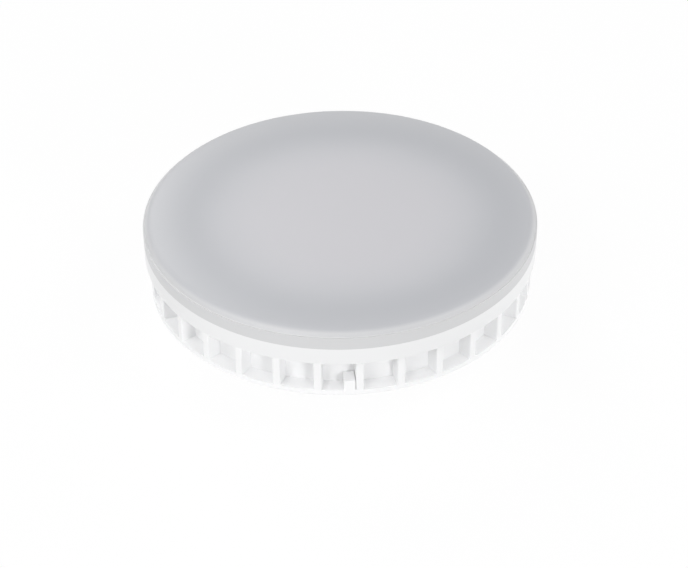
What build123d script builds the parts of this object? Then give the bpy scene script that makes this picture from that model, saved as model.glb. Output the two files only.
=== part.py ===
from build123d import *
import os

# A flat LED disc lamp with a two-pin twist-lock cap, standing on the round boss of its cap.
# Millimetres, +Z up, origin at the centre of the boss's end face.

# Outside of the lamp, from the boss's end face upwards
lamp_diameter = 75.0
boss_height = 10.8
flange_thickness = 1.2
fin_height = 6.6
ring_height = 3.5
skirt_height = 2.5
shoulder_drop = 1.3
dome_drop = 0.8
crown_rise = 0.3

# Diffuser: an opal cap pressed over the housing's lip
diffuser_wall = 1.4
dome_width = 6.7
shoulder_width = 1.6
skirt_step = 0.2
lid_clearance = 0.1

# Housing: ring, finned drum and the deck that carries the light board
lip_thickness = 1.6
lip_headroom = 0.4
lip_lead_in = 0.4
ring_edge_chamfer = 0.2
ring_overhang = 0.85
deck_thickness = 1.8
drum_wall = 1.6
fin_count = 30
fin_thickness = 1.5
fin_depth = 2.9
fin_edge_round = 0.3

# Snap beads that hold the diffuser and the cap
snap_bead = 0.3
snap_play = 0.1

# Cap: flange, hollow boss, collar inside the drum, keys between the fins
boss_diameter = 38.0
boss_wall = 1.6
boss_edge_chamfer = 0.8
flange_edge_chamfer = 0.3
collar_thickness = 1.2
collar_height = 2.6
collar_clearance = 0.1
key_width = 2.0
key_height = 2.2
key_clearance = 0.1

# Contact pins, riveted into the flange at the standard spacing
pin_spacing = 53.0
pin_length = 6.8
pin_head_diameter = 5.0
pin_head_height = 2.0
pin_head_chamfer = 0.5
pin_neck_diameter = 3.4
pin_shank_diameter = 2.4
pin_hole_clearance = 0.05
rivet_diameter = 4.0
rivet_height = 0.8
rivet_clearance = 0.5

# Light board, its emitters and its screws
led_board_thickness = 1.2
led_board_clearance = 0.4
led_length = 3.5
led_width = 2.8
led_height = 0.8
inner_led_count = 6
inner_led_radius = 12.0
outer_led_count = 12
outer_led_radius = 24.0
screw_count = 3
screw_diameter = 2.2
screw_length = 5.6
screw_head_diameter = 4.6
screw_head_height = 1.4
screw_head_chamfer = 0.4
screw_hole_clearance = 0.4
pilot_clearance = 0.05
pilot_spare_depth = 0.6
post_wall = 1.5
post_floor = 0.8
post_gap = 0.8

# Driver board on four staked posts, with its parts hanging into the boss
driver_board_thickness = 1.6
driver_board_margin = 2.5
driver_post_count = 4
driver_post_diameter = 2.8
driver_post_height = 1.2
driver_post_inset = 1.5
peg_diameter = 1.6
peg_clearance = 0.1
peg_head_diameter = 2.6
peg_head_height = 0.5
part_floor_clearance = 1.2
bulk_capacitor_diameter = 8.0
bulk_capacitor_place = (-8.0, 4.5)
output_capacitor_diameter = 6.3
output_capacitor_place = (8.5, 5.0)
can_chamfer = 0.5
can_crimp = 0.4
can_crimp_height = 1.6
inductor_diameter = 9.0
inductor_core_diameter = 4.4
inductor_winding_diameter = 7.6
inductor_flange = 1.2
inductor_height = 9.0
inductor_place = (0.0, -8.5)
fuse_diameter = 3.4
fuse_length = 8.0
fuse_waist = 0.4
fuse_chamfer = 0.7
fuse_lead_diameter = 0.7
fuse_lead_length = 1.5
fuse_place = (11.5, -5.5)
chip_length = 4.9
chip_width = 3.9
chip_height = 1.5
chip_place = (8.0, -7.0)
rectifier_length = 4.7
rectifier_width = 4.0
rectifier_height = 1.4
rectifier_place = (-8.0, -7.0)

# Leads
lead_diameter = 1.2
lead_bend = 1.2
pin_lead_landing = 2.5
led_lead_pitch = 2.0
led_lead_reach = 6.0
lead_hole_place = 11.0
lead_hole_clearance = 0.6

# Heights worked out from the stack
flange_top = boss_height + flange_thickness
deck_bottom = flange_top + fin_height
deck_top = deck_bottom + deck_thickness
seam = deck_bottom + ring_height
skirt_top = seam + skirt_height
shoulder_top = skirt_top + shoulder_drop
dome_top = shoulder_top + dome_drop
apex = dome_top + crown_rise
lip_top = skirt_top - lip_headroom
collar_top = flange_top + collar_height
led_board_top = deck_top + led_board_thickness
driver_board_bottom = flange_top + driver_post_height
driver_board_top = driver_board_bottom + driver_board_thickness
hanging_depth = driver_board_bottom - boss_wall - part_floor_clearance

# Radii worked out from the outside inwards
lamp_radius = lamp_diameter / 2
skirt_inner_radius = lamp_radius - diffuser_wall
lip_radius = skirt_inner_radius - lid_clearance
lip_inner_radius = lip_radius - lip_thickness
fin_radius = lamp_radius - ring_overhang
drum_radius = fin_radius - fin_depth
drum_inner_radius = drum_radius - drum_wall
collar_radius = drum_inner_radius - collar_clearance
collar_inner_radius = collar_radius - collar_thickness
boss_radius = boss_diameter / 2
pin_circle = pin_spacing / 2
post_radius = screw_diameter / 2 + post_wall
screw_circle = collar_inner_radius - post_gap - post_radius
driver_board_radius = pin_circle - rivet_diameter / 2 - driver_board_margin
driver_post_circle = driver_board_radius - driver_post_inset
lead_hole_radius = (led_lead_pitch + lead_diameter) / 2 + lead_hole_clearance


def turned(profile):
    """Solid of revolution about Z from a face drawn with radius as x and height as y."""
    return revolve(Plane.XZ * profile, Axis.Z)


def corner(profile, radius, height):
    """The profile's vertex nearest to a point, to be chamfered."""
    return profile.vertices().sort_by_distance((radius, height, 0))[0]


def upright(diameter, bottom, top):
    """Cylinder on the Z axis between two heights."""
    return Pos(0, 0, bottom) * extrude(Circle(diameter / 2), top - bottom)


def snap_ring(radius, height, play=0.0):
    """Ridge of diamond section about the axis, or with play the groove that takes it."""
    reach = snap_bead + play
    ridge = Polyline(
        (radius - reach, height),
        (radius, height - reach),
        (radius + reach, height),
        (radius, height + reach),
        close=True,
    )
    return turned(make_face(ridge))


def screw_places():
    return PolarLocations(screw_circle, screw_count, start_angle=90)


def driver_post_places():
    return PolarLocations(driver_post_circle, driver_post_count, start_angle=180 / driver_post_count)


def diffuser():
    """Opal cap: nearly flat face that falls away to a rolled shoulder, a crease and a straight skirt."""
    crease_radius = lamp_radius - skirt_step
    shoulder_radius = crease_radius - shoulder_width
    face_radius = shoulder_radius - dome_width
    face = TangentArc((0, apex), (face_radius, dome_top), tangent=(1, 0))
    dome = TangentArc(face @ 1, (shoulder_radius, shoulder_top), tangent=face % 1)
    shoulder = TangentArc(dome @ 1, (crease_radius, skirt_top), tangent=dome % 1)
    skirt_and_inside = Polyline(
        (crease_radius, skirt_top),
        (lamp_radius, skirt_top),
        (lamp_radius, seam),
        (skirt_inner_radius, seam),
        (skirt_inner_radius, shoulder_top - diffuser_wall),
        (face_radius, dome_top - diffuser_wall),
        (0, apex - diffuser_wall),
        (0, apex),
    )
    profile = make_face(face + dome + shoulder + skirt_and_inside)
    return turned(profile) + snap_ring(skirt_inner_radius, (seam + lip_top) / 2)


def housing():
    """Ring and deck turned as one profile, with a drum and radial fins hanging below."""
    profile = make_face(
        Polyline(
            (0, deck_bottom),
            (lamp_radius, deck_bottom),
            (lamp_radius, seam),
            (lip_radius, seam),
            (lip_radius, lip_top),
            (lip_inner_radius, lip_top),
            (lip_inner_radius, deck_top),
            (0, deck_top),
            close=True,
        )
    )
    profile = chamfer(corner(profile, lamp_radius, deck_bottom), ring_edge_chamfer)
    profile = chamfer(corner(profile, lip_radius, lip_top), lip_lead_in)
    body = turned(profile) + finned_drum()
    body -= snap_ring(skirt_inner_radius, (seam + lip_top) / 2, snap_play)
    body -= snap_ring(collar_radius, (flange_top + collar_top) / 2, snap_play)
    pilot_bottom = led_board_top - screw_length - pilot_spare_depth
    post = upright(2 * post_radius, pilot_bottom - post_floor, deck_bottom)
    pilot = upright(screw_diameter + 2 * pilot_clearance, pilot_bottom, deck_top)
    for place in screw_places():
        body += place * post
    for place in screw_places():
        body -= place * pilot
    return body - lead_hole()


def finned_drum():
    """Drum wall with a ring of radial fins, drawn as one section and extruded."""
    fin_root = drum_radius - drum_wall / 2
    fin = Pos((fin_root + fin_radius) / 2, 0) * Rectangle(fin_radius - fin_root, fin_thickness)
    fin = fillet(fin.vertices().sort_by(Axis.X)[-2:], fin_edge_round)
    section = Circle(drum_radius)
    section += [place * fin for place in PolarLocations(0, fin_count)]
    section -= Circle(drum_inner_radius)
    return Pos(0, 0, flange_top) * extrude(section, fin_height)


def lead_hole():
    """Passage for the two board leads through the deck and the light board."""
    return Pos(0, lead_hole_place) * upright(2 * lead_hole_radius, deck_bottom, led_board_top)


def base_cap():
    """Flange with a hollow boss below and a collar, keys and driver posts above."""
    profile = make_face(
        Polyline(
            (0, 0),
            (boss_radius, 0),
            (boss_radius, boss_height),
            (fin_radius, boss_height),
            (fin_radius, flange_top),
            (collar_radius, flange_top),
            (collar_radius, collar_top),
            (collar_inner_radius, collar_top),
            (collar_inner_radius, flange_top),
            (boss_radius - boss_wall, flange_top),
            (boss_radius - boss_wall, boss_wall),
            (0, boss_wall),
            close=True,
        )
    )
    profile = chamfer(corner(profile, boss_radius, 0), boss_edge_chamfer)
    profile = chamfer(corner(profile, fin_radius, boss_height), flange_edge_chamfer)
    body = turned(profile) + snap_ring(collar_radius, (flange_top + collar_top) / 2)
    for key in keys():
        body += key
    for place in driver_post_places():
        body += place * driver_post()
    hole = upright(pin_shank_diameter + 2 * pin_hole_clearance, boss_height, flange_top)
    relief = upright(rivet_diameter + 2 * rivet_clearance, flange_top, collar_top)
    for place in PolarLocations(pin_circle, 2):
        body -= place * (hole + relief)
    return body


def keys():
    """Two opposite blocks, flush with the rim, each beside a fin so that the cap can't turn in the drum."""
    depth = fin_radius - drum_radius - key_clearance
    block = Box(depth, key_width, key_height, align=(Align.MAX, Align.MAX, Align.MIN))
    block = Pos(fin_radius, -fin_thickness / 2 - key_clearance, flange_top) * block
    block &= upright(2 * fin_radius, flange_top, flange_top + key_height)
    first_fin = -(fin_count // 4)
    return [
        Rot(0, 0, fin * 360 / fin_count) * block
        for fin in (first_fin, first_fin + fin_count // 2)
    ]


def driver_post():
    """Post with a peg through the driver board, its end staked over into a head."""
    peg_top = driver_board_top + peg_head_height
    post = upright(driver_post_diameter, flange_top, driver_board_bottom)
    peg = upright(peg_diameter, driver_board_bottom, peg_top)
    head = upright(peg_head_diameter, driver_board_top, peg_top)
    return post + peg + head


def contact_pin():
    """Turned pin: round head, neck that the socket's spring grips, shank riveted over inside."""
    tip = boss_height - pin_length
    rivet_top = flange_top + rivet_height
    profile = make_face(
        Polyline(
            (0, tip),
            (pin_head_diameter / 2, tip),
            (pin_head_diameter / 2, tip + pin_head_height),
            (pin_neck_diameter / 2, tip + pin_head_height),
            (pin_neck_diameter / 2, boss_height),
            (pin_shank_diameter / 2, boss_height),
            (pin_shank_diameter / 2, flange_top),
            (rivet_diameter / 2, flange_top),
            (rivet_diameter / 2, rivet_top),
            (0, rivet_top),
            close=True,
        )
    )
    profile = chamfer(corner(profile, pin_head_diameter / 2, tip), pin_head_chamfer)
    profile = chamfer(corner(profile, pin_head_diameter / 2, tip + pin_head_height), pin_head_chamfer)
    return turned(profile)


def led_board():
    """Round metal-core board lying on the deck inside the lip."""
    board = upright(2 * (lip_inner_radius - led_board_clearance), deck_top, led_board_top)
    hole = upright(screw_diameter + 2 * screw_hole_clearance, deck_top, led_board_top)
    for place in screw_places():
        board -= place * hole
    return board - lead_hole()


def led_chips():
    """Two rings of emitters soldered to the light board."""
    chip = Pos(0, 0, led_board_top) * Box(led_width, led_length, led_height, align=BOTTOM)
    inner = [place * chip for place in PolarLocations(inner_led_radius, inner_led_count)]
    half_step = 180 / outer_led_count
    outer = [place * chip for place in PolarLocations(outer_led_radius, outer_led_count, half_step)]
    return Compound(inner + outer)


def board_screws():
    """Pan-head screws that clamp the light board to the deck."""
    head = upright(screw_head_diameter, led_board_top, led_board_top + screw_head_height)
    head = chamfer(head.edges().group_by(Axis.Z)[-1], screw_head_chamfer)
    screw = head + upright(screw_diameter, led_board_top - screw_length, led_board_top)
    return Compound([place * screw for place in screw_places()])


def driver_board():
    """Round laminate board resting on the posts."""
    board = upright(2 * driver_board_radius, driver_board_bottom, driver_board_top)
    hole = upright(peg_diameter + 2 * peg_clearance, driver_board_bottom, driver_board_top)
    for place in driver_post_places():
        board -= place * hole
    return board


def can_capacitor(diameter, place):
    """Electrolytic can hanging from the driver board, with its rolled crimp near the seal."""
    radius = diameter / 2
    end = driver_board_bottom - hanging_depth
    crimp = driver_board_bottom - can_crimp_height
    profile = make_face(
        Polyline(
            (0, end),
            (radius, end),
            (radius, crimp - can_crimp),
            (radius - can_crimp, crimp),
            (radius, crimp + can_crimp),
            (radius, driver_board_bottom),
            (0, driver_board_bottom),
            close=True,
        )
    )
    profile = chamfer(corner(profile, radius, end), can_chamfer)
    return Pos(*place) * turned(profile)


def inductor_core():
    """Ferrite bobbin hanging from the driver board: two flanges on a core."""
    low = driver_board_bottom - inductor_height
    core = upright(inductor_core_diameter, low, driver_board_bottom)
    core += upright(inductor_diameter, low, low + inductor_flange)
    core += upright(inductor_diameter, driver_board_bottom - inductor_flange, driver_board_bottom)
    return Pos(*inductor_place) * core


def inductor_winding():
    """Copper winding between the bobbin's flanges."""
    low = driver_board_bottom - inductor_height + inductor_flange
    high = driver_board_bottom - inductor_flange
    winding = upright(inductor_winding_diameter, low, high) - upright(inductor_core_diameter, low, high)
    return Pos(*inductor_place) * winding


def fuse_resistor():
    """Upright fusible resistor: a waisted body on a bare wire."""
    radius = fuse_diameter / 2
    high = driver_board_bottom - fuse_lead_length
    low = high - fuse_length
    cap_length = radius
    profile = make_face(
        Polyline(
            (0, low),
            (radius, low),
            (radius, low + cap_length),
            (radius - fuse_waist, low + cap_length + fuse_waist),
            (radius - fuse_waist, high - cap_length - fuse_waist),
            (radius, high - cap_length),
            (radius, high),
            (0, high),
            close=True,
        )
    )
    profile = chamfer(corner(profile, radius, low), fuse_chamfer)
    profile = chamfer(corner(profile, radius, high), fuse_chamfer)
    body = turned(profile) + upright(fuse_lead_diameter, high, driver_board_bottom)
    return Pos(*fuse_place) * body


def flat_chip(length, width, height, place):
    """Moulded package lying on top of the driver board."""
    return Pos(*place, driver_board_top) * Box(length, width, height, align=BOTTOM)


def lead(start, bend, end):
    """Insulated lead swept along two straight runs joined by an arc."""
    route = FilletPolyline(start, bend, end, radius=lead_bend)
    section = Plane(origin=route @ 0, z_dir=route % 0) * Circle(lead_diameter / 2)
    return sweep(section, path=route)


def pin_lead():
    """Lead from a pin's rivet, bent over to lie on the driver board's edge."""
    resting = driver_board_top + lead_diameter / 2
    return lead(
        (pin_circle, 0, flange_top + rivet_height),
        (pin_circle, 0, resting),
        (driver_board_radius - pin_lead_landing, 0, resting),
    )


def led_lead(side):
    """Lead from the driver board up through the passage, bent over to lie on the light board."""
    x = side * led_lead_pitch / 2
    resting = led_board_top + lead_diameter / 2
    return lead(
        (x, lead_hole_place, driver_board_top),
        (x, lead_hole_place, resting),
        (x, lead_hole_place - led_lead_reach, resting),
    )


BOTTOM = (Align.CENTER, Align.CENTER, Align.MIN)
half_turn = Rot(0, 0, 180)
pin_at_right = Pos(pin_circle, 0) * contact_pin()
lead_at_right = pin_lead()

nodes = {
    "base_cap": base_cap(),
    "contact_pin_right": pin_at_right,
    "contact_pin_left": half_turn * pin_at_right,
    "driver_board": driver_board(),
    "bulk_capacitor": can_capacitor(bulk_capacitor_diameter, bulk_capacitor_place),
    "output_capacitor": can_capacitor(output_capacitor_diameter, output_capacitor_place),
    "inductor_core": inductor_core(),
    "inductor_winding": inductor_winding(),
    "fuse_resistor": fuse_resistor(),
    "driver_chip": flat_chip(chip_length, chip_width, chip_height, chip_place),
    "rectifier": flat_chip(rectifier_length, rectifier_width, rectifier_height, rectifier_place),
    "pin_lead_right": lead_at_right,
    "pin_lead_left": half_turn * lead_at_right,
    "housing": housing(),
    "led_board": led_board(),
    "led_chips": led_chips(),
    "board_screws": board_screws(),
    "led_lead_positive": led_lead(1),
    "led_lead_negative": led_lead(-1),
    "diffuser": diffuser(),
}

os.makedirs("parts", exist_ok=True)
for name, shape in nodes.items():
    export_step(shape, f"parts/{name}.step")
    print(name, "volume", round(shape.volume, 1))
print("overall height", round(apex, 2), "diameter", lamp_diameter)
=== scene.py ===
import math

import bpy
from mathutils import Matrix, Vector


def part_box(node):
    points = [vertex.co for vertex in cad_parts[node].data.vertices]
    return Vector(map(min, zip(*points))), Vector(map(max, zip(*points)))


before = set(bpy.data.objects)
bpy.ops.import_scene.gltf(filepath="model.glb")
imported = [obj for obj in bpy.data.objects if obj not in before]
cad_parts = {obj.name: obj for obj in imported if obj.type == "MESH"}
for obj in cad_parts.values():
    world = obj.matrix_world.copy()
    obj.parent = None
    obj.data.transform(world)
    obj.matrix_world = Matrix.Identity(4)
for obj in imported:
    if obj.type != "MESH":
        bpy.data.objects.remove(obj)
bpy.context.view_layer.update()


# Base cap: flange, hollow boss, collar and keys in one white glass-filled moulding.
# Its collar snaps into the housing's drum, and the lamp stands on the end of its boss.
NOISE_LOW = 0.3
NOISE_HIGH = 0.7
CAP_DARK = (0.93, 0.932, 0.936)
CAP_LIGHT = (0.95, 0.952, 0.956)


def place(tree, kind, inputs=None, **settings):
    """Adds a node, sets its properties, and fills its inputs with values or links."""
    node = tree.nodes.new(kind)
    for name, value in settings.items():
        setattr(node, name, value)
    for key, value in (inputs or {}).items():
        if isinstance(value, bpy.types.NodeSocket):
            tree.links.new(value, node.inputs[key])
        else:
            node.inputs[key].default_value = value
    return node


def new_group(name, inputs, outputs):
    """Empty shader node group with named sockets, and its input and output nodes."""
    group = bpy.data.node_groups.new(name, "ShaderNodeTree")
    for socket, kind, value in inputs:
        made = group.interface.new_socket(socket, in_out="INPUT", socket_type=kind)
        made.default_value = value
    for socket in outputs:
        group.interface.new_socket(socket, in_out="OUTPUT", socket_type="NodeSocketFloat")
    return group, group.nodes.new("NodeGroupInput"), group.nodes.new("NodeGroupOutput")


def moulded_grain_group():
    """Fine spark-eroded texture of a mould, and the broad unevenness of cooled plastic."""
    group, given, result = new_group(
        "moulded grain",
        [
            ("Grain Scale", "NodeSocketFloat", 3000.0),
            ("Flow Scale", "NodeSocketFloat", 60.0),
        ],
        ["Grain", "Flow"],
    )
    spot = place(group, "ShaderNodeTexCoord").outputs["Object"]
    grain = place(
        group,
        "ShaderNodeTexNoise",
        {"Vector": spot, "Scale": given.outputs["Grain Scale"], "Detail": 2.0, "Roughness": 0.6},
    )
    flow = place(
        group,
        "ShaderNodeTexNoise",
        {"Vector": spot, "Scale": given.outputs["Flow Scale"], "Detail": 3.0, "Distortion": 0.4},
    )
    group.links.new(grain.outputs["Fac"], result.inputs["Grain"])
    group.links.new(flow.outputs["Fac"], result.inputs["Flow"])
    return group


def use_group(tree, group, **values):
    """Places a node group in a material with its own input values, and gives its outputs."""
    node = tree.nodes.new("ShaderNodeGroup")
    node.node_tree = group
    for name, value in values.items():
        node.inputs[name.replace("_", " ")].default_value = value
    return node.outputs


def new_material(name):
    """Node material with a Principled shader on its output."""
    material = bpy.data.materials.new(name)
    material.use_nodes = True
    return material, material.node_tree, material.node_tree.nodes["Principled BSDF"]


def blend(tree, mask, first, second):
    """Colour socket that runs along a mask from one tone or colour socket to another.
    The colours of a Mix node are its inputs 6 and 7 and its output 2."""
    colours = [end if isinstance(end, bpy.types.NodeSocket) else (*end, 1.0) for end in (first, second)]
    inputs = {"Factor": mask, 6: colours[0], 7: colours[1]}
    return place(tree, "ShaderNodeMix", inputs, data_type="RGBA").outputs[2]


def spread(tree, noise, low, high):
    """Value socket that maps the usual values of a noise onto a range."""
    limits = {"From Min": NOISE_LOW, "From Max": NOISE_HIGH, "To Min": low, "To Max": high}
    return place(tree, "ShaderNodeMapRange", {"Value": noise, **limits}).outputs["Result"]


def feed(tree, shader, sockets):
    """Links sockets to the shader's inputs by name."""
    for name, socket in sockets.items():
        tree.links.new(socket, shader.inputs[name])


def bump(tree, shader, height, depth, strength=1.0):
    """Feeds a height of the given depth in metres into the shader's normal."""
    node = place(tree, "ShaderNodeBump", {"Height": height, "Distance": depth, "Strength": strength})
    feed(tree, shader, {"Normal": node.outputs["Normal"]})


def dress(material, *names):
    """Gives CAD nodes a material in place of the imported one."""
    for name in names:
        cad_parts[name].material_slots[0].material = material


moulded_grain = moulded_grain_group()


def white_moulding(name):
    """White satin plastic with the fine grain of its mould, whose colour comes later."""
    material, tree, shader = new_material(name)
    grain = use_group(tree, moulded_grain, Grain_Scale=2600.0, Flow_Scale=45.0)
    feed(tree, shader, {"Roughness": spread(tree, grain["Flow"], low=0.42, high=0.52)})
    bump(tree, shader, grain["Grain"], depth=0.00002, strength=0.6)
    return material, tree, shader, grain["Flow"]


def cap_plastic():
    """White moulding in one tone with a slight drift."""
    material, tree, shader, flow = white_moulding("cap plastic")
    feed(tree, shader, {"Base Color": blend(tree, flow, CAP_DARK, CAP_LIGHT)})
    return material


dress(cap_plastic(), "base_cap")


# Contact pins: turned brass with nickel plating, riveted through the flange.
# The tool leaves fine rings along each pin.
TOOL_FEED = 0.00012
TOOL_DEPTH = 0.000002


def round_axis_group():
    """Distance from an upright axis, angle round it in turns, and height above its foot, in metres."""
    group, given, result = new_group(
        "round an axis",
        [("Axis", "NodeSocketVector", (0.0, 0.0, 0.0))],
        ["Radius", "Turn", "Height"],
    )
    spot = place(group, "ShaderNodeTexCoord").outputs["Object"]
    offset = place(group, "ShaderNodeVectorMath", {0: spot, 1: given.outputs["Axis"]}, operation="SUBTRACT")
    parts = place(group, "ShaderNodeSeparateXYZ", {"Vector": offset.outputs[0]})
    x, y, height = parts.outputs
    flat = place(group, "ShaderNodeCombineXYZ", {"X": x, "Y": y})
    radius = place(group, "ShaderNodeVectorMath", {0: flat.outputs[0]}, operation="LENGTH")
    angle = place(group, "ShaderNodeMath", {0: y, 1: x}, operation="ARCTAN2")
    turn = place(group, "ShaderNodeMath", {0: angle.outputs[0], 1: math.tau}, operation="DIVIDE")
    group.links.new(radius.outputs["Value"], result.inputs["Radius"])
    group.links.new(turn.outputs[0], result.inputs["Turn"])
    group.links.new(height, result.inputs["Height"])
    return group


def calculate(tree, operation, first, second=0.0):
    """Math node on sockets or numbers."""
    return place(tree, "ShaderNodeMath", {0: first, 1: second}, operation=operation).outputs[0]


def ridges(tree, height, pitch):
    """Height socket that rises and falls once in each pitch along Z."""
    phase = calculate(tree, "MULTIPLY", height, math.tau / pitch)
    return calculate(tree, "SINE", phase)


round_axis = round_axis_group()


def turned_metal(name, dark, light, roughness):
    """Plated metal with the fine rings of a lathe tool along Z."""
    material, tree, shader = new_material(name)
    shader.inputs["Metallic"].default_value = 1.0
    flow = use_group(tree, moulded_grain, Grain_Scale=4000.0, Flow_Scale=400.0)["Flow"]
    height = use_group(tree, round_axis)["Height"]
    colour = blend(tree, flow, dark, light)
    feed(tree, shader, {"Base Color": colour, "Roughness": spread(tree, flow, *roughness)})
    bump(tree, shader, ridges(tree, height, TOOL_FEED), TOOL_DEPTH, strength=0.5)
    return material


nickel_plate = turned_metal(
    "nickel plate",
    dark=(0.56, 0.54, 0.50),
    light=(0.66, 0.64, 0.60),
    roughness=(0.22, 0.34),
)
dress(nickel_plate, "contact_pin_right", "contact_pin_left")


# Driver board: a disc of pressed paper laminate, resting on four posts of the cap.
# The pegs of the posts are staked over it.
def grained(name, tone_by, dark, light, roughness, depth, **scales):
    """Plain finish whose tone follows the grain or the flow, with the grain as its texture."""
    material, tree, shader = new_material(name)
    grain = use_group(tree, moulded_grain, **scales)
    colour = blend(tree, grain[tone_by], dark, light)
    feed(tree, shader, {"Base Color": colour, "Roughness": spread(tree, grain["Flow"], *roughness)})
    bump(tree, shader, grain["Grain"], depth)
    return material


laminate = grained(
    "laminate",
    tone_by="Grain",
    dark=(0.36, 0.27, 0.12),
    light=(0.50, 0.40, 0.20),
    roughness=(0.5, 0.65),
    depth=0.00002,
    Grain_Scale=900.0,
    Flow_Scale=180.0,
)
dress(laminate, "driver_board")


# Capacitors: aluminium cans in shrunk sleeves, hanging from the driver board into the boss.
# A pale stripe runs down each sleeve, and the bare end of the can shows inside its fold.
STRIPE_TURN = 0.16
SLEEVE_FOLD = 0.0009
FILM_TONE = (0.03, 0.035, 0.06)
STRIPE_TONE = (0.55, 0.56, 0.58)
CAN_TONE = (0.75, 0.75, 0.76)


def upright_axis(node):
    """Foot of the axis of an upright round node, and its radius, both from its box."""
    low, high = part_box(node)
    middle = (low + high) / 2
    return (middle.x, middle.y, low.z), (high.x - low.x) / 2


def sleeve(name, node):
    """Dark sleeve with a pale stripe, open over the can's bare end."""
    material, tree, shader = new_material(name)
    axis, radius = upright_axis(node)
    about = use_group(tree, round_axis, Axis=axis)
    flow = use_group(tree, moulded_grain, Grain_Scale=1500.0, Flow_Scale=300.0)["Flow"]
    turn = calculate(tree, "ABSOLUTE", about["Turn"])
    stripe = calculate(tree, "LESS_THAN", turn, STRIPE_TURN / 2)
    bare = calculate(tree, "LESS_THAN", about["Radius"], radius - SLEEVE_FOLD)
    film = blend(tree, stripe, FILM_TONE, STRIPE_TONE)
    colour = blend(tree, bare, film, CAN_TONE)
    gloss = spread(tree, flow, low=0.25, high=0.4)
    feed(tree, shader, {"Base Color": colour, "Metallic": bare, "Roughness": gloss})
    bump(tree, shader, flow, depth=0.00005, strength=0.4)
    return material


dress(sleeve("bulk capacitor sleeve", "bulk_capacitor"), "bulk_capacitor")
dress(sleeve("output capacitor sleeve", "output_capacitor"), "output_capacitor")


# Inductor: a sintered ferrite bobbin with a copper winding between its flanges.
# It hangs from the driver board beside the capacitors.
WIRE_PITCH = 0.0003
WIRE_DEPTH = 0.00008
COPPER_DARK = (0.50, 0.20, 0.08)
COPPER_LIGHT = (0.70, 0.34, 0.16)


def winding():
    """Enamelled copper wire, laid turn beside turn."""
    material, tree, shader = new_material("copper winding")
    shader.inputs["Metallic"].default_value = 0.9
    shader.inputs["Coat Weight"].default_value = 0.4
    height = use_group(tree, round_axis)["Height"]
    flow = use_group(tree, moulded_grain, Grain_Scale=1500.0, Flow_Scale=500.0)["Flow"]
    colour = blend(tree, flow, COPPER_DARK, COPPER_LIGHT)
    feed(tree, shader, {"Base Color": colour, "Roughness": spread(tree, flow, low=0.25, high=0.4)})
    bump(tree, shader, ridges(tree, height, WIRE_PITCH), WIRE_DEPTH)
    return material


ferrite = grained(
    "ferrite",
    tone_by="Grain",
    dark=(0.03, 0.03, 0.033),
    light=(0.075, 0.075, 0.08),
    roughness=(0.5, 0.7),
    depth=0.00003,
    Grain_Scale=5000.0,
    Flow_Scale=500.0,
)
dress(ferrite, "inductor_core")
dress(winding(), "inductor_winding")


# Fuse resistor: a ceramic rod in pale green paint with coloured bands, upright on a bare wire.
# The wire is soldered to the driver board.
BAND_PITCH = 0.0013
BAND_SHARE = 0.45
WIRE_RADIUS = 0.0005
PAINT_TONE = (0.33, 0.45, 0.40)
BAND_TONE = (0.16, 0.07, 0.03)
WIRE_TONE = (0.7, 0.69, 0.66)


def resistor_paint():
    """Painted rod with bands along its height and bare wire at its axis."""
    material, tree, shader = new_material("resistor paint")
    foot, _ = upright_axis("fuse_resistor")
    about = use_group(tree, round_axis, Axis=foot)
    grain = use_group(tree, moulded_grain, Grain_Scale=2500.0, Flow_Scale=500.0)
    along = calculate(tree, "DIVIDE", about["Height"], BAND_PITCH)
    band = calculate(tree, "LESS_THAN", calculate(tree, "FRACT", along), BAND_SHARE)
    wire = calculate(tree, "LESS_THAN", about["Radius"], WIRE_RADIUS)
    colour = blend(tree, wire, blend(tree, band, PAINT_TONE, BAND_TONE), WIRE_TONE)
    gloss = spread(tree, grain["Flow"], low=0.3, high=0.45)
    feed(tree, shader, {"Base Color": colour, "Metallic": wire, "Roughness": gloss})
    bump(tree, shader, grain["Grain"], depth=0.00002)
    return material


dress(resistor_paint(), "fuse_resistor")


# Driver chip and rectifier: black epoxy packages soldered to the top of the driver board.
# Their faces have the fine matte texture of the mould.
chip_resin = grained(
    "chip resin",
    tone_by="Grain",
    dark=(0.018, 0.018, 0.019),
    light=(0.04, 0.04, 0.042),
    roughness=(0.55, 0.7),
    depth=0.00002,
    Grain_Scale=6000.0,
    Flow_Scale=700.0,
)
dress(chip_resin, "driver_chip", "rectifier")


# Leads: stranded wire in extruded insulation. Two go from the pins' rivets to the driver board,
# and two go from there up through the deck to the light board. All are soldered at both ends.
def insulation(name, dark, light):
    """Extruded insulation with a slight sheen."""
    return grained(
        name,
        tone_by="Flow",
        dark=dark,
        light=light,
        roughness=(0.35, 0.5),
        depth=0.00002,
        Grain_Scale=2500.0,
        Flow_Scale=600.0,
    )


white_insulation = insulation("white insulation", dark=(0.72, 0.72, 0.70), light=(0.80, 0.80, 0.78))
red_insulation = insulation("red insulation", dark=(0.42, 0.02, 0.015), light=(0.55, 0.03, 0.02))
black_insulation = insulation("black insulation", dark=(0.015, 0.015, 0.015), light=(0.03, 0.03, 0.03))
dress(white_insulation, "pin_lead_right", "pin_lead_left")
dress(red_insulation, "led_lead_positive")
dress(black_insulation, "led_lead_negative")


# Housing: ring, deck, drum and fins in one white moulding that carries the heat away.
# The cap snaps into its drum from below, and the diffuser over its lip from above.
SEAM_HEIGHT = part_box("diffuser")[0].z
RING_HEIGHT = 0.0035
RING_BLEND = 0.0004
FINS_DARK = (0.91, 0.912, 0.917)
FINS_LIGHT = (0.93, 0.932, 0.937)
# The ring's tones are painted shade on the same white moulding as the fins.
PAINTED_SHADE_RING_DARK = (0.840, 0.843, 0.848)
PAINTED_SHADE_RING_LIGHT = (0.860, 0.863, 0.868)


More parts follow.
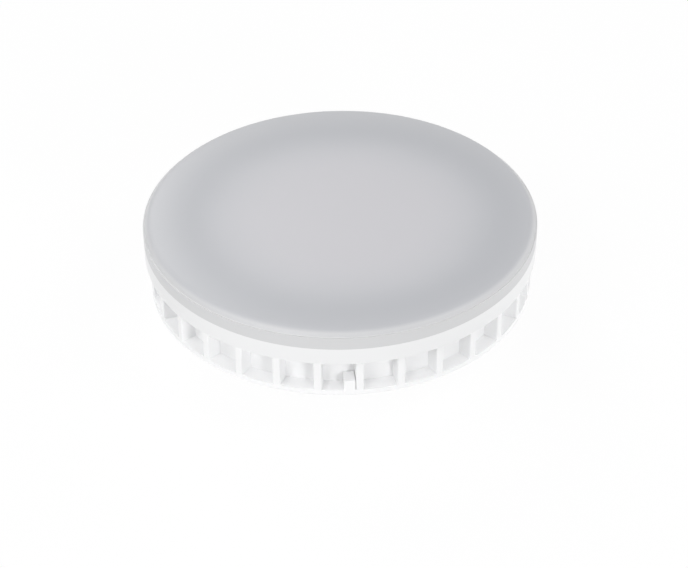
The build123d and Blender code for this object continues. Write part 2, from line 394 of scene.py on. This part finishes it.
def above(tree, height, start, width):
    """Mask that rises from zero to one over a width from a starting height."""
    limits = {"From Min": start, "From Max": start + width}
    return place(tree, "ShaderNodeMapRange", {"Value": height, **limits}).outputs["Result"]


def housing_plastic():
    """White moulding, with painted shade that makes the ring a shade greyer than the drum and the fins."""
    material, tree, shader, flow = white_moulding("housing plastic")
    height = use_group(tree, round_axis)["Height"]
    fins = blend(tree, flow, FINS_DARK, FINS_LIGHT)
    ring = blend(tree, flow, PAINTED_SHADE_RING_DARK, PAINTED_SHADE_RING_LIGHT)
    upper = above(tree, height, SEAM_HEIGHT - RING_HEIGHT, RING_BLEND)
    colour = blend(tree, upper, fins, ring)
    feed(tree, shader, {"Base Color": colour})
    return material


dress(housing_plastic(), "housing")


# Light board: an aluminium disc under white solder mask, screwed to the deck.
# Its cut edge shows the bare metal.
BOARD_RIM = 0.0002
MASK_DARK = (0.80, 0.80, 0.79)
MASK_LIGHT = (0.86, 0.86, 0.85)
EDGE_TONE = (0.76, 0.76, 0.77)


def light_board():
    """White mask on the face, bare aluminium at the edge."""
    material, tree, shader = new_material("light board")
    radius = use_group(tree, round_axis)["Radius"]
    grain = use_group(tree, moulded_grain, Grain_Scale=2000.0, Flow_Scale=200.0)
    _, board_radius = upright_axis("led_board")
    metal = calculate(tree, "GREATER_THAN", radius, board_radius - BOARD_RIM)
    colour = blend(tree, metal, blend(tree, grain["Flow"], MASK_DARK, MASK_LIGHT), EDGE_TONE)
    gloss = spread(tree, grain["Flow"], low=0.35, high=0.5)
    feed(tree, shader, {"Base Color": colour, "Metallic": metal, "Roughness": gloss})
    bump(tree, shader, grain["Grain"], depth=0.00001)
    return material


dress(light_board(), "led_board")


# Emitters: white packages with yellow phosphor on top, soldered to the light board in two rings.
# The phosphor is cast into the package and has a fine grain.
FACING_UP = 0.5
PACKAGE_TONE = (0.85, 0.85, 0.84)
PHOSPHOR_DARK = (0.80, 0.58, 0.10)
PHOSPHOR_LIGHT = (0.88, 0.70, 0.20)


def emitter():
    """Phosphor on top, white package on the sides."""
    material, tree, shader = new_material("emitter")
    grain = use_group(tree, moulded_grain, Grain_Scale=5000.0, Flow_Scale=900.0)
    facing = place(tree, "ShaderNodeNewGeometry").outputs["Normal"]
    upwards = place(tree, "ShaderNodeSeparateXYZ", {"Vector": facing}).outputs["Z"]
    top = calculate(tree, "GREATER_THAN", upwards, FACING_UP)
    phosphor = blend(tree, grain["Grain"], PHOSPHOR_DARK, PHOSPHOR_LIGHT)
    colour = blend(tree, top, PACKAGE_TONE, phosphor)
    gloss = spread(tree, grain["Flow"], low=0.25, high=0.4)
    feed(tree, shader, {"Base Color": colour, "Roughness": gloss})
    bump(tree, shader, grain["Grain"], depth=0.00002)
    return material


dress(emitter(), "led_chips")


# Board screws: zinc-plated pan heads that clamp the light board to the posts under the deck.
# The plating is slightly cloudy.
zinc_plate = turned_metal(
    "zinc plate",
    dark=(0.50, 0.51, 0.52),
    light=(0.62, 0.63, 0.64),
    roughness=(0.3, 0.45),
)
dress(zinc_plate, "board_screws")


# Diffuser: a frosted opal cap pressed over the housing's lip until its bead snaps in.
# The face tone is painted light and shade: a painted glow in the middle where the pale board below shines
# through, and a painted shade ring over the gap round the board, both a little in front of the axis.
# A painted glow lightens the rim over the white lip of the housing.
FACE_MIDDLE = (0.0012, -0.0028, SEAM_HEIGHT)
FACE_DRIFT = 0.0006
# From the middle outwards: painted glow, its fade, painted shade ring, painted rim glow.
PAINTED_GLOW_MIDDLE_TONE = (0.585, 0.580, 0.605)
PAINTED_GLOW_FADE_TONE = (0.545, 0.550, 0.575)
PAINTED_SHADE_RING_TONE = (0.440, 0.450, 0.475)
PAINTED_RIM_GLOW_TONE = (0.545, 0.550, 0.570)
# Distance from the face's middle, and the tone there
PAINTED_FACE_LIGHT_TONES = (
    (0.0, PAINTED_GLOW_MIDDLE_TONE),
    (0.0160, PAINTED_GLOW_MIDDLE_TONE),
    (0.0235, PAINTED_GLOW_FADE_TONE),
    (0.0300, PAINTED_SHADE_RING_TONE),
    (0.0375, PAINTED_RIM_GLOW_TONE),
    (0.0440, PAINTED_RIM_GLOW_TONE),
)
# Skirt and shoulder are painted lighter than the face, a painted glow over the housing's lip, and the
# crease carries a painted highlight line.
PAINTED_GLOW_SKIRT_TONE = (0.650, 0.652, 0.660)
PAINTED_HIGHLIGHT_CREASE_TONE = (0.662, 0.664, 0.672)
PAINTED_GLOW_SHOULDER_TONE = (0.600, 0.603, 0.616)
# Height above the seam, and the tone there
RIM_TONES = (
    (-0.0001, PAINTED_GLOW_SKIRT_TONE),
    (0.00235, PAINTED_GLOW_SKIRT_TONE),
    (0.00246, PAINTED_HIGHLIGHT_CREASE_TONE),
    (0.00254, PAINTED_HIGHLIGHT_CREASE_TONE),
    (0.00270, PAINTED_GLOW_SHOULDER_TONE),
    (0.00390, PAINTED_GLOW_SHOULDER_TONE),
)
SHOULDER_TOP = 0.00315
SHOULDER_BLEND = 0.0004


def tone_ramp(tree, along, tones, interpolation):
    """Colour socket that follows the tones listed along a length."""
    low = tones[0][0]
    high = tones[-1][0]
    part = above(tree, along, low, high - low)
    ramp = place(tree, "ShaderNodeValToRGB", {"Fac": part})
    ramp.color_ramp.interpolation = interpolation
    stops = ramp.color_ramp.elements
    while len(stops) < len(tones):
        stops.new(0.5)
    for stop, (reach, tone) in zip(stops, tones):
        stop.position = (reach - low) / (high - low)
        stop.color = (*tone, 1.0)
    return ramp.outputs["Color"]


def opal():
    """Frosted plastic with shine-through light and shade painted into its tone, by distance from the middle
    and height over the seam.
    """
    material, tree, shader = new_material("opal plastic")
    grain = use_group(tree, moulded_grain, Grain_Scale=3200.0, Flow_Scale=35.0)
    about = use_group(tree, round_axis, Axis=FACE_MIDDLE)
    drift = spread(tree, grain["Flow"], low=-FACE_DRIFT, high=FACE_DRIFT)
    radius = calculate(tree, "ADD", about["Radius"], drift)
    face = tone_ramp(tree, radius, PAINTED_FACE_LIGHT_TONES, "B_SPLINE")
    rim = tone_ramp(tree, about["Height"], RIM_TONES, "LINEAR")
    colour = blend(tree, above(tree, about["Height"], SHOULDER_TOP, SHOULDER_BLEND), rim, face)
    gloss = spread(tree, grain["Flow"], low=0.45, high=0.52)
    feed(tree, shader, {"Base Color": colour, "Roughness": gloss})
    bump(tree, shader, grain["Grain"], depth=0.000015, strength=0.5)
    return material


dress(opal(), "diffuser")


# Studio: a white table and white surroundings, with soft lamps all round the object.
# The lamps are aimed at the middle of the seam between ring and diffuser.
TABLE_CORNERS = ((-3.0, -3.0), (4.0, -3.0), (4.0, 3.0), (-3.0, 3.0))
TABLE_DROP = 0.0004
TABLE_GLOW = 1.0
TABLE_SHADE = 0.06
TABLE_BOUNCE = 0.81
WORLD_LIGHT = 0.06
LAMP_DISTANCE = 0.9
LAMP_SIZE = 0.4
WHITE = (1.0, 1.0, 1.0, 1.0)
SEAM_CENTRE = Vector((0.0, 0.0, SEAM_HEIGHT))


def background_rays(tree):
    """One where the camera, a reflection or a view through glass looks at the surroundings."""
    path = place(tree, "ShaderNodeLightPath").outputs
    seen = calculate(tree, "MAXIMUM", path["Is Camera Ray"], path["Is Glossy Ray"])
    return calculate(tree, "MAXIMUM", seen, path["Is Transmission Ray"])


def studio_world():
    """White backdrop to look at, and an even weak light on the object."""
    world = bpy.data.worlds.new("studio")
    world.use_nodes = True
    tree = world.node_tree
    seen = background_rays(tree)
    light = place(tree, "ShaderNodeMapRange", {"Value": seen, "To Min": WORLD_LIGHT, "To Max": 1.0})
    feed(tree, tree.nodes["Background"], {"Strength": light.outputs["Result"]})
    tree.nodes["Background"].inputs["Color"].default_value = WHITE
    return world


def mix_shaders(tree, share, first, second):
    """Node that shows two shader nodes, the second by the given share."""
    inputs = {0: share, 1: first.outputs[0], 2: second.outputs[0]}
    return place(tree, "ShaderNodeMixShader", inputs)


def table_surface():
    """White table that keeps a faint shadow and lights the lamp evenly, and is clear from below."""
    material, tree, shader = new_material("white table")
    tree.nodes.remove(shader)
    glow = place(tree, "ShaderNodeEmission", {"Strength": TABLE_GLOW})
    matte = place(tree, "ShaderNodeBsdfDiffuse", {"Color": WHITE})
    shown = mix_shaders(tree, TABLE_SHADE, glow, matte)
    bounce = place(tree, "ShaderNodeEmission", {"Strength": TABLE_BOUNCE})
    top = mix_shaders(tree, background_rays(tree), bounce, shown)
    below = place(tree, "ShaderNodeNewGeometry").outputs["Backfacing"]
    clear = place(tree, "ShaderNodeBsdfTransparent")
    both = mix_shaders(tree, below, top, clear)
    feed(tree, tree.nodes["Material Output"], {"Surface": both.outputs[0]})
    return material


def direction(turn, rise):
    """Unit vector towards a place so many radians right of the front and above the level."""
    return Vector((math.sin(turn) * math.cos(rise), -math.cos(turn) * math.cos(rise), math.sin(rise)))


def soft_lamp(name, turn, rise, level, size=LAMP_SIZE, distance=LAMP_DISTANCE, gleam=True):
    """Square lamp aimed at the object from degrees right of the front and above the table.
    Its level is the tone that a white card facing it would render at. A low lamp has no gleam,
    as if it stood behind a white sheet, because it would burn out in the flat face."""
    towards = direction(math.radians(turn), math.radians(rise))
    data = bpy.data.lights.new(name, "AREA")
    data.energy = level * (math.pi * distance) ** 2
    data.size = size
    lamp = bpy.data.objects.new(name, data)
    lamp.location = SEAM_CENTRE + distance * towards
    lamp.rotation_euler = towards.to_track_quat("Z", "Y").to_euler()
    lamp.visible_glossy = gleam
    bpy.context.scene.collection.objects.link(lamp)


table_mesh = bpy.data.meshes.new("table")
table_mesh.from_pydata([(x, y, -TABLE_DROP) for x, y in TABLE_CORNERS], [], [(0, 1, 2, 3)])
table_mesh.materials.append(table_surface())
table = bpy.data.objects.new("table", table_mesh)
bpy.context.scene.collection.objects.link(table)

bpy.context.scene.world = studio_world()
soft_lamp("key lamp", turn=28, rise=15, level=0.33, size=0.2, gleam=False)
soft_lamp("front left lamp", turn=-35, rise=35, level=0.32)
soft_lamp("left lamp", turn=-75, rise=15, level=0.16, gleam=False)
soft_lamp("right lamp", turn=68, rise=50, level=0.25)
soft_lamp("high lamp", turn=-75, rise=60, level=0.25, size=0.3, distance=0.5)
soft_lamp("back left lamp", turn=-150, rise=35, level=0.29)
soft_lamp("back right lamp", turn=120, rise=15, level=0.34, gleam=False)


# Camera: at the photograph's viewing angle, given as its turn, rise and lean and its distance
# from the seam's centre. Its axis is turned until that centre falls on its own pixel of the frame.
TURN = math.radians(0.93)
RISE = math.radians(35.2)
LEAN = math.radians(-0.76)
DISTANCE = 0.400
FOCAL_PIXELS = 2089.0
FRAME_PIXELS = (688.0, 568.0)
SEAM_PIXEL = (340.17, 227.6)
SENSOR = 36.0
NEAREST = 0.01

back = direction(TURN, RISE)
sideways = Vector((math.cos(TURN), math.sin(TURN), 0.0))
upward = back.cross(sideways)
right = math.cos(LEAN) * sideways + math.sin(LEAN) * upward
up = math.cos(LEAN) * upward - math.sin(LEAN) * sideways
across = (FRAME_PIXELS[0] / 2 - SEAM_PIXEL[0]) / FOCAL_PIXELS
down = (FRAME_PIXELS[1] / 2 - SEAM_PIXEL[1]) / FOCAL_PIXELS
away = (back - across * right + down * up).normalized()
side = (right - right.dot(away) * away).normalized()
head = away.cross(side)
camera_data = bpy.data.cameras.new("camera")
camera_data.sensor_width = SENSOR
camera_data.lens = FOCAL_PIXELS / FRAME_PIXELS[0] * SENSOR
camera_data.clip_start = NEAREST
camera = bpy.data.objects.new("camera", camera_data)
facing = Matrix((side, head, away)).transposed().to_4x4()
camera.matrix_world = Matrix.Translation(SEAM_CENTRE + DISTANCE * back) @ facing
bpy.context.scene.collection.objects.link(camera)
bpy.context.scene.camera = camera
bpy.context.scene.view_settings.view_transform = "Standard"
